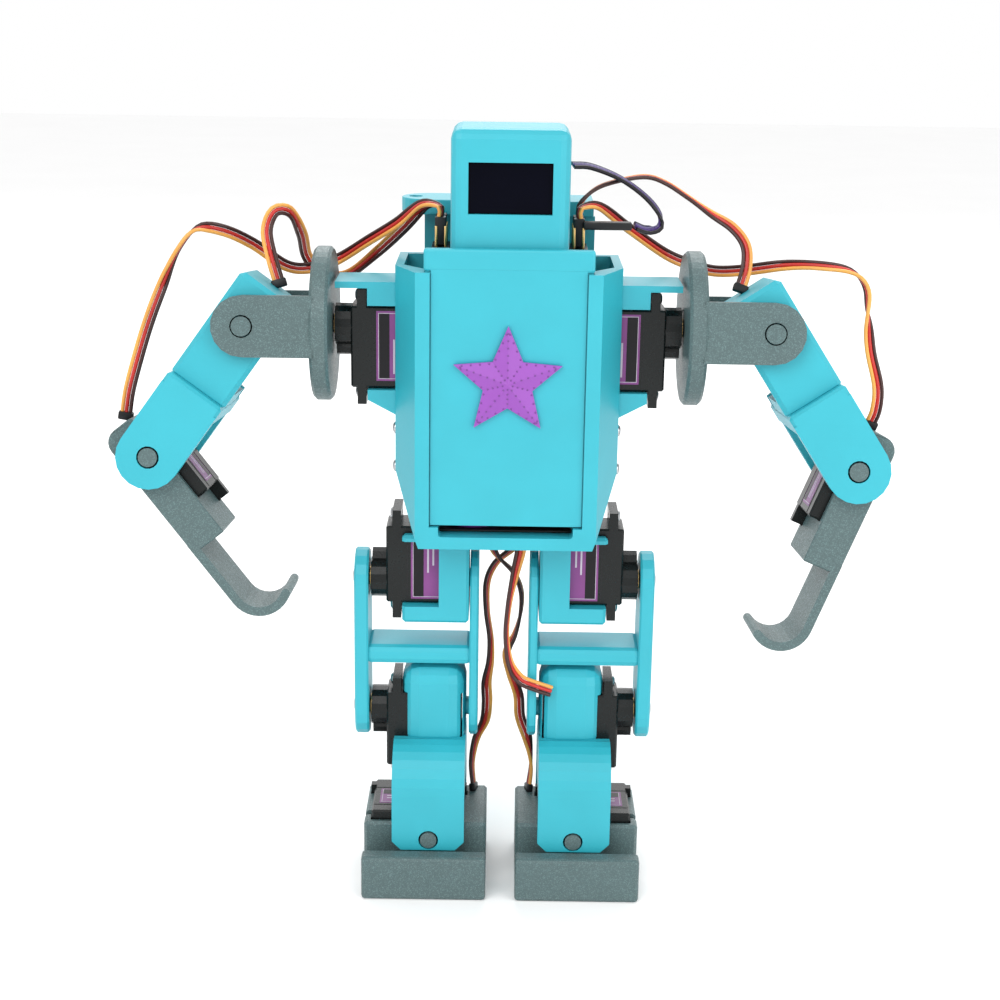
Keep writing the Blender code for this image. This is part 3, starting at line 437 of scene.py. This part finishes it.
# Each lead's route in millimetres, given as points, and read through a smooth curve
LEADS = {
    "lead_elbow_right": [
        (-19.0, -3.0, 194.3),
        (-19.2, -2.8, 196.8),
        (-24.5, 1.0, 197.0),
        (-31.5, 6.5, 191.0),
        (-40.0, 13.5, 185.0),
        (-49.5, 19.8, 178.5),
        (-57.5, 19.6, 176.0),
        (-64.0, 17.8, 177.0),
        (-72.5, 13.5, 183.6),
        (-80.0, 7.0, 188.2),
        (-86.5, 3.0, 189.0),
        (-91.5, 0.0, 183.5),
        (-96.4, -2.0, 172.5),
        (-100.0, -3.5, 163.0),
        (-103.2, -4.2, 153.0),
        (-105.6, -4.5, 144.5),
        (-106.9, -4.0, 137.6),
    ],
    "lead_roll_right": [
        (-19.0, 3.5, 194.3),
        (-19.2, 3.8, 196.2),
        (-23.8, 6.0, 195.6),
        (-30.0, 10.5, 189.0),
        (-37.5, 16.5, 181.5),
        (-47.0, 23.5, 173.5),
        (-54.0, 25.0, 173.5),
        (-58.4, 24.2, 178.5),
        (-59.2, 18.0, 186.0),
        (-61.5, 11.0, 193.0),
        (-65.5, 8.0, 193.6),
        (-67.6, 6.0, 188.5),
        (-66.2, 4.0, 181.5),
        (-64.0, 2.0, 174.6),
    ],
    "lead_elbow_left": [
        (19.0, -3.0, 194.3),
        (19.2, -2.8, 196.8),
        (24.5, 1.0, 197.0),
        (33.5, 9.0, 190.0),
        (45.0, 19.5, 181.5),
        (53.0, 22.8, 178.0),
        (59.5, 22.0, 176.5),
        (67.5, 18.0, 177.5),
        (78.5, 12.0, 180.0),
        (88.0, 8.0, 180.5),
        (95.5, 5.0, 179.5),
        (99.4, 2.0, 175.5),
        (100.0, 0.0, 168.0),
        (101.0, -2.0, 158.5),
        (103.3, -4.0, 149.0),
        (103.2, -4.6, 142.5),
        (101.9, -4.4, 138.2),
    ],
    "lead_roll_left": [
        (19.0, 3.0, 194.3),
        (19.4, 3.2, 197.6),
        (24.0, 5.0, 201.6),
        (31.0, 7.0, 203.7),
        (38.0, 11.0, 204.2),
        (43.5, 14.0, 202.3),
        (49.5, 15.5, 198.6),
        (56.5, 14.0, 194.0),
        (62.5, 11.0, 190.5),
        (66.0, 8.0, 186.0),
        (66.2, 5.0, 180.5),
        (64.5, 2.0, 175.0),
    ],
    "lead_display": [
        (17.0, 2.0, 208.0),
        (22.0, 3.0, 207.6),
        (30.0, 3.5, 204.5),
        (37.0, 2.5, 199.8),
        (40.8, 0.5, 195.4),
        (40.6, -2.0, 192.2),
        (37.2, -5.4, 191.6),
        (34.0, -6.6, 192.8),
    ],
    "lead_leg_right": [
        (3.8, 7.5, 108.0),
        (4.4, 8.3, 101.0),
        (2.4, 9.0, 96.0),
        (-2.4, 9.0, 91.5),
        (-5.0, 7.5, 86.0),
        (-5.0, 5.0, 78.0),
        (-3.8, 3.0, 70.0),
        (-3.8, 2.5, 63.0),
        (-4.8, 4.5, 55.5),
        (-4.6, 7.5, 48.0),
        (-5.2, 9.5, 41.0),
        (-7.8, 10.5, 34.5),
        (-9.0, 9.8, 27.0),
        (-8.4, 8.0, 20.2),
    ],
    "lead_leg_left": [
        (-3.6, 6.0, 108.0),
        (-4.6, 6.0, 101.0),
        (-2.4, 5.2, 95.0),
        (2.6, 4.5, 90.0),
        (5.0, 5.0, 84.0),
        (5.0, 6.0, 77.0),
        (3.4, 6.5, 70.0),
        (1.0, 6.5, 64.0),
        (2.4, 7.0, 57.5),
        (4.8, 8.0, 50.0),
        (5.4, 9.5, 42.5),
        (7.8, 10.5, 35.0),
        (9.0, 9.8, 27.0),
        (8.4, 8.0, 20.2),
    ],
    "lead_knee_left": [
        (4.2, -6.0, 107.6),
        (4.6, -6.0, 101.0),
        (3.0, -6.5, 93.0),
        (1.4, -7.0, 84.0),
        (0.8, -8.0, 75.0),
        (2.0, -9.5, 67.0),
        (5.0, -10.8, 62.5),
        (9.5, -11.0, 60.5),
        (14.0, -9.8, 58.5),
    ],
}

# Which way each ribbon lies: at a share of its length, the direction from its brown edge to its
# orange edge
FACING = {
    "lead_elbow_right": [
        (0.0, (-0.3, -1, 0)),
        (0.12, (0, -0.4, -1)),
        (0.40, (-0.3, 0, -1)),
        (0.55, (-0.6, -0.4, -0.6)),
        (0.66, (-0.2, -1, -0.1)),
        (0.78, (-1, -0.3, 0)),
        (1.0, (-1, 0, 0)),
    ],
    "lead_roll_right": [
        (0.0, (0.3, -1, 0)),
        (0.14, (0, -0.4, 1)),
        (0.45, (0.3, 0.3, 1)),
        (0.60, (1, 0, 0.2)),
        (0.76, (0, 0, 1)),
        (0.86, (-1, 0, 0.1)),
        (1.0, (-1, 0, 0)),
    ],
    "lead_elbow_left": [
        (0.0, (0.3, -1, 0)),
        (0.12, (0, -0.4, -1)),
        (0.45, (0, 0, -1)),
        (0.62, (0, -0.8, -0.6)),
        (0.74, (0.3, -1, 0)),
        (0.84, (-1, -0.4, 0)),
        (1.0, (-1, 0, 0)),
    ],
    "lead_roll_left": [
        (0.0, (0.3, 1, 0)),
        (0.2, (0, 1, 0)),
        (0.55, (0, 1, 0.2)),
        (0.75, (0.5, 0.6, 0.5)),
        (1.0, (1, 0.2, 0)),
    ],
    "lead_display": [(0.0, (0, 1, 0.2)), (0.5, (0.2, 1, 0)), (1.0, (0, 1, 0.3))],
    "lead_leg_right": [
        (0.0, (1, 0.4, 0)),
        (0.4, (0.3, 1, 0)),
        (0.7, (1, 0.3, 0)),
        (1.0, (0.2, 1, 0)),
    ],
    "lead_leg_left": [
        (0.0, (-1, 0.4, 0)),
        (0.3, (0.2, 1, 0)),
        (0.7, (-1, 0.3, 0)),
        (1.0, (0.2, -1, 0)),
    ],
    "lead_knee_left": [(0.0, (1, 0.2, 0)), (0.5, (0.3, 1, 0)), (1.0, (0, 0.3, 1))],
}

# The bodies along each lead, and the shares of its length where it turns from one to the next
SPANS = {
    "lead_elbow_right": (
        ("torso", "right_shoulder", 0.10, 0.33),
        ("right_shoulder", "right_upper_arm", 0.38, 0.62),
        ("right_upper_arm", "right_forearm", 0.70, 0.98),
    ),
    "lead_roll_right": (
        ("torso", "right_shoulder", 0.10, 0.46),
        ("right_shoulder", "right_upper_arm", 0.56, 0.97),
    ),
    "lead_elbow_left": (
        ("torso", "left_shoulder", 0.10, 0.33),
        ("left_shoulder", "left_upper_arm", 0.38, 0.62),
        ("left_upper_arm", "left_forearm", 0.70, 0.98),
    ),
    "lead_roll_left": (
        ("torso", "left_shoulder", 0.10, 0.46),
        ("left_shoulder", "left_upper_arm", 0.54, 0.97),
    ),
    "lead_display": (("torso", None, 0, 0),),
    "lead_leg_right": (
        ("torso", "right_thigh", 0.08, 0.32),
        ("right_thigh", "right_shin", 0.35, 0.65),
        ("right_shin", "right_foot", 0.69, 0.98),
    ),
    "lead_leg_left": (
        ("torso", "left_thigh", 0.08, 0.32),
        ("left_thigh", "left_shin", 0.35, 0.65),
        ("left_shin", "left_foot", 0.69, 0.98),
    ),
    "lead_knee_left": (("torso", "left_thigh", 0.15, 0.85),),
}


def smooth_route(points, step):
    """Points about a step apart, evenly spread along a Catmull-Rom curve through the route."""
    route = [Vector(p) for p in points]
    ends = [route[0] * 2 - route[1], *route, route[-1] * 2 - route[-2]]
    fine = []
    for i in range(1, len(ends) - 2):
        a, b, c, d = ends[i - 1 : i + 3]
        for k in range(12):
            t = k / 12
            rise = 2 * a - 5 * b + 4 * c - d
            turn = 3 * b - a - 3 * c + d
            fine.append(0.5 * (2 * b + (c - a) * t + rise * t**2 + turn * t**3))
    fine.append(route[-1])
    steps = [0.0]
    for p, q in zip(fine, fine[1:]):
        steps.append(steps[-1] + (q - p).length)
    count = max(2, round(steps[-1] / step) + 1)
    out = []
    i = 1
    for k in range(count):
        want = steps[-1] * k / (count - 1)
        while i < len(steps) - 1 and steps[i] < want:
            i += 1
        share = (want - steps[i - 1]) / max(steps[i] - steps[i - 1], 1e-9)
        out.append(fine[i - 1].lerp(fine[i], min(1, share)))
    return out


def read_facing(keys, share):
    """The ribbon's width direction at a share of its length, eased between its keys."""
    for (low, a), (high, b) in zip(keys, keys[1:]):
        if share <= high:
            t = (share - low) / (high - low)
            t = t * t * (3 - 2 * t)
            return Vector(a).normalized().lerp(Vector(b).normalized(), t)
    return Vector(keys[-1][1])


def ribbon_frames(points, keys):
    """For each point, the width and the thickness directions of the ribbon."""
    frames = []
    last = len(points) - 1
    for i, point in enumerate(points):
        tangent = (points[min(i + 1, last)] - points[max(i - 1, 0)]).normalized()
        width = read_facing(keys, i / last)
        width = (width - tangent * width.dot(tangent)).normalized()
        frames.append((width, tangent.cross(width)))
    return frames


def add_wire(shape, points, frames, offset, radius, material):
    """One wire of a ribbon, as a closed tube beside the ribbon's middle line."""
    rings = []
    for point, (width, depth) in zip(points, frames):
        centre = point + width * offset
        ring = []
        for k in range(WIRE_SIDES):
            angle = 2 * math.pi * k / WIRE_SIDES
            place = centre + width * (radius * math.cos(angle)) + depth * (radius * math.sin(angle))
            ring.append(shape.verts.new(place * MM))
        rings.append(ring)
    for low, high in zip(rings, rings[1:]):
        for k in range(WIRE_SIDES):
            j = (k + 1) % WIRE_SIDES
            shape.faces.new((low[k], low[j], high[j], high[k])).material_index = material
    shape.faces.new(rings[0]).material_index = material
    shape.faces.new(reversed(rings[-1])).material_index = material


def make_lead(name):
    """A lead's pieces, one for each joint that it crosses, that meet where they are split."""
    points = smooth_route(LEADS[name], 1.3)
    frames = ribbon_frames(points, FACING[name])
    wires = DISPLAY_WIRES if name == "lead_display" else SERVO_WIRES
    spans = SPANS[name]
    last = len(points) - 1
    cuts = [0] + [round(last * (a[3] + b[2]) / 2) for a, b in zip(spans, spans[1:])] + [last]
    for number, (span, low, high) in enumerate(zip(spans, cuts, cuts[1:]), 1):
        part = points[low : high + 1]
        shape = bmesh.new()
        for k in range(len(wires)):
            offset = (k - (len(wires) - 1) / 2) * WIRE_PITCH
            add_wire(shape, part, frames[low : high + 1], offset, WIRE_R, k)
        piece = new_object(f"{name}_{number}" if len(spans) > 1 else f"{name}_wires", shape, *wires)
        near, far, start, end = span
        if far:
            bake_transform(piece)
        else:
            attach(piece, near)
    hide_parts(name)
    if name not in ("lead_display", "lead_knee_left"):
        add_boot(name, points, frames, spans[-1][1])


def add_boot(name, points, frames, body):
    """The black grip at the end where a lead leaves its servo."""
    shape = bmesh.new()
    add_box(shape, (-2.1, 2.1), (-0.95, 0.95), (-0.9, 1.5), 0.4)
    width, depth = frames[-1]
    tangent = (points[-1] - points[-2]).normalized()
    boot = new_object(f"{name}_boot", shape, "horn_black")
    boot.data.transform(axes_matrix(width, tangent.cross(width), tangent, points[-1]))
    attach(boot, body)


# ---------------------------------------------------------------- small pieces


def add_screw(shape, place, direction, radius=1.5, height=0.9, material=0):
    """A pan head with a cross recess."""
    matrix = pointing(place, direction)
    profile = [(radius, 0), (radius, height * 0.35), (radius * 0.86, height * 0.75)]
    profile += [(radius * 0.55, height), (radius * 0.5, height)]
    profile += [(radius * 0.34, height * 0.45), (0, height * 0.45)]
    add_turned(shape, profile, matrix, 16, material)


def screws(name, group, side, s, places, material="screw_dark", radius=1.5, height=0.9):
    shape = bmesh.new()
    for place, direction in places:
        add_screw(shape, place, direction, radius, height)
    return settle(new_object(name, shape, material), group, side, s)


def servo_matrix(kind):
    """Where a servo stands in its group's frame, from its shaft and the bottom of its case."""
    return {
        "shoulder": axes_matrix((0, 0, 1), (0, -1, 0), (1, 0, 0), (SHOULDER_BOTTOM_X, 0, SHOULDER_Z)),
        "hip": axes_matrix((0, 0, -1), (0, 1, 0), (1, 0, 0), (LEG_BOTTOM_X, 0, HIP_Z)),
        "knee": axes_matrix((0, 0, 1), (0, -1, 0), (1, 0, 0), (LEG_BOTTOM_X, 0, KNEE_Z)),
        "roll": axes_matrix((0, 0, 1), (1, 0, 0), (0, 1, 0), (0, SERVO_BACK, 0)),
        "elbow": axes_matrix((0, 0, 1), (1, 0, 0), (0, 1, 0), (0, SERVO_BACK, 0)),
        "ankle": axes_matrix((-1, 0, 0), (0, 0, 1), (0, 1, 0), (ANKLE[0], SERVO_BACK, ANKLE[1])),
    }[kind]


SERVO_GROUPS = {
    "shoulder": "torso",
    "hip": "torso",
    "knee": "shin",
    "roll": "upper_arm",
    "elbow": "forearm",
    "ankle": "foot",
}


def label_layers(shape, face, low, high, z_low, z_high):
    """A servo's label on one long side: a coloured field, a pale line, a dark band and two bars."""
    out = 1 if face > 0 else -1

    def plate(x, z, rise, material):
        add_box(shape, x, (face - out * 0.02, face + out * rise), z, 0.0, material)

    rim = 0.55
    plate((low, high), (z_low, z_high), 0.06, 1)
    plate((low + rim, high - rim), (z_low + rim, z_high - rim), 0.09, 0)
    rim += 0.18
    plate((low + rim, high - rim), (z_low + rim, z_high - rim), 0.12, 1)
    middle = z_low + (z_high - z_low) * LABEL_SPLIT
    plate((low + rim, high - rim), (middle, z_high - rim), 0.15, 2)
    for number, reach in enumerate((0.62, 0.48)):
        height = middle - 1.5 - 1.5 * number
        plate((low + 2.0, low + 2.0 + (high - low - 4.0) * reach), (height, height + 0.5), 0.15, 0)


def dress_servo(kind, side, s):
    """Case seams, a brass bush, ear screws and a label on each long side."""
    matrix = servo_matrix(kind)
    group = SERVO_GROUPS[kind]
    shape = bmesh.new()
    seam = 0.09
    for z_low, z_high in ((4.0, 4.35), (15.6, 15.95)):
        for y in (-1, 1):
            edge = y * SERVO_HALF
            length = (-SERVO_FAR + 0.4, SERVO_END - 0.4)
            add_box(shape, length, (edge, edge + y * seam), (z_low, z_high))
    trim = new_object(f"{kind}_servo_seams_{side}", shape, "horn_black")
    shape = bmesh.new()
    for edge in (-SERVO_HALF, SERVO_HALF):
        label_layers(shape, edge, -SERVO_FAR + 2.0, SERVO_END - 1.2, 5.2, 14.8)
    inks = ("label_white", "label_purple", "label_black")
    label = new_object(f"{kind}_servo_label_{side}", shape, *inks)
    shape = bmesh.new()
    low, high = TURRET_TOP - 0.1, TURRET_TOP + 0.35
    profile = [(2.45, low), (3.2, low), (3.2, high), (2.45, high)]
    add_turned(shape, profile, Matrix.Identity(4), 20)
    ring = new_object(f"{kind}_servo_bush_{side}", shape, "brass")
    shape = bmesh.new()
    ends = [SERVO_END + EAR_HOLE]
    if kind != "ankle":
        ends.append(-SERVO_FAR - EAR_HOLE)
    for x in ends:
        add_screw(shape, (x, 0, EAR_TOP - 0.1), (0, 0, 1), 1.7, 1.0)
    fixings = new_object(f"{kind}_servo_screws_{side}", shape, "steel")
    slots = ("servo_black", "servo_black", "horn_black", "horn_black")
    for obj, slot in zip((trim, label, ring, fixings), slots):
        obj.data.transform(matrix)
        settle(obj, group, side, s)


def add_dots(shape, points, radius, direction=(0, -1, 0)):
    """Small raised dots that mark a printed ridge."""
    for point in points:
        add_turned(
            shape, [(radius, 0), (radius, 0.08), (radius * 0.6, 0.2), (0, 0.24)], pointing(point, direction), 8
        )


def dress_star():
    """Small dots along the badge's ridges and round its edge."""
    shape = bmesh.new()
    peak = Vector((0, STAR_PEAK, STAR_Z))
    rim = []
    for i in range(10):
        radius = STAR_OUTER if i % 2 == 0 else STAR_INNER
        angle = math.radians(90 + 36 * i)
        rim.append(Vector((radius * math.cos(angle), STAR_RING, STAR_Z + radius * math.sin(angle))))
    points = []
    for i, corner in enumerate(rim):
        count = 7 if i % 2 == 0 else 4
        points += [peak.lerp(corner, (k + 1) / (count + 1)) for k in range(count)]
        after = rim[(i + 1) % 10]
        points += [corner.lerp(after, (k + 0.5) / 4).lerp(peak, 0.07) for k in range(4)]
    add_dots(shape, points, 0.28)
    dots = new_object("star_dots", shape, "printed_violet")
    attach(dots, "cover")


def dress_header(side, s):
    """A pin header on the board with the leads' housings pushed on its pins."""
    shape = bmesh.new()
    low = BOARD_TOP
    add_box(shape, (16.0, 21.4), (-6.6, 6.6), (low, low + 2.5), 0.2, 0)
    for row in (-PIN_PITCH / 2, PIN_PITCH / 2):
        for place in range(5):
            y = (place - 2) * PIN_PITCH
            x = 18.8 + row
            add_box(shape, (x - 0.32, x + 0.32), (y - 0.32, y + 0.32), (low + 2.5, low + 8.2), 0.1, 1)
    for y in HOUSINGS[side]:
        width = (y - PIN_PITCH * 0.75, y + PIN_PITCH * 0.75)
        add_box(shape, (17.4, 20.4), width, (low + 3.0, HEADER_TOP + 1.2), 0.3)
    if side == "left":
        add_box(shape, (20.0, 33.0), (-8.4, -4.8), (191.7, 193.8), 0.4, 0)
    header = new_object(f"header_pins_{side}", shape, "horn_black", "brass")
    settle(header, "torso", side, s)
    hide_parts(f"lead_header_{side}")


def dress_torso(side, s):
    """Two screws in the side of the chest."""
    screws(
        f"torso_side_screws_{side}",
        "torso",
        side,
        s,
        [((TORSO_SIDE, -4.0, z), (1, 0, 0)) for z in (124.0, 135.0)],
        "steel",
        1.7,
        1.0,
    )


def dress_joints(side, s):
    """The screws that hold each horn, seen from outside."""
    outer = [((THIGH_SIDE, 0, z), (1, 0, 0)) for z in (HIP_Z, KNEE_Z)]
    for body, group, places in (
        ("disc", "shoulder", [((DISC_OUT, 0, 0), (1, 0, 0))]),
        ("thigh", "thigh", outer),
        ("arm_top", "shoulder", [((ROLL_X, HORN_FACE, 0), (0, 1, 0))]),
        ("arm_end", "upper_arm", [((0, HORN_FACE, -UPPER_ARM), (0, 1, 0))]),
        ("ankle", "shin", [((ANKLE[0], HORN_FACE, ANKLE[1]), (0, 1, 0))]),
    ):
        screws(f"{body}_screws_{side}", group, side, s, places, "steel", 2.2, 0.9)


def dress_bay():
    """A dark pad on the chest's floor, under the cell and the module."""
    shape = bmesh.new()
    add_box(shape, (-18.4, 18.4), (-16.4, 2.6), (108.5, 109.1), 0.2)
    pad = new_object("bay_pad", shape, "horn_black")
    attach(pad, "torso")


# ---------------------------------------------------------------- materials on the solids


def paint_solids():
    looks = {
        "shoulder_disc": "printed_grey_disc",
        "forearm": "printed_grey",
        "shoulder_pin": "printed_grey",
        "foot": "printed_grey",
        "neck_deck": "printed_blue",
        "upper_arm": "printed_blue_side",
        "lead_header": "horn_black",
        "battery_tray": "horn_black",
        "power_module": "board_dark",
        "controller_board": "board_dark",
        "display_module": "display_glass",
        "battery_cell": "battery_purple",
        "star_badge": "printed_purple",
    }
    for name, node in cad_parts.items():
        stem = name.removesuffix("_left").removesuffix("_right")
        look = looks.get(stem)
        if look is None and stem.endswith("servo"):
            look = "servo_black"
        if look is None and stem.endswith("horn"):
            look = "horn_black"
        node.data.materials.clear()
        node.data.materials.append(MATERIALS[look or "printed_blue"])
        node.data.shade_smooth()
        node.data.set_sharp_from_angle(angle=math.radians(35))


# ---------------------------------------------------------------- assembly


def main():
    add_camera()
    for name in LEADS:
        make_lead(name)
    add_studio()
    paint_solids()
    dress_star()
    dress_bay()
    for side, s in SIDES:
        for kind in SERVO_GROUPS:
            dress_servo(kind, side, s)
        dress_header(side, s)
        dress_torso(side, s)
        dress_joints(side, s)


MATERIALS = make_materials()
main()
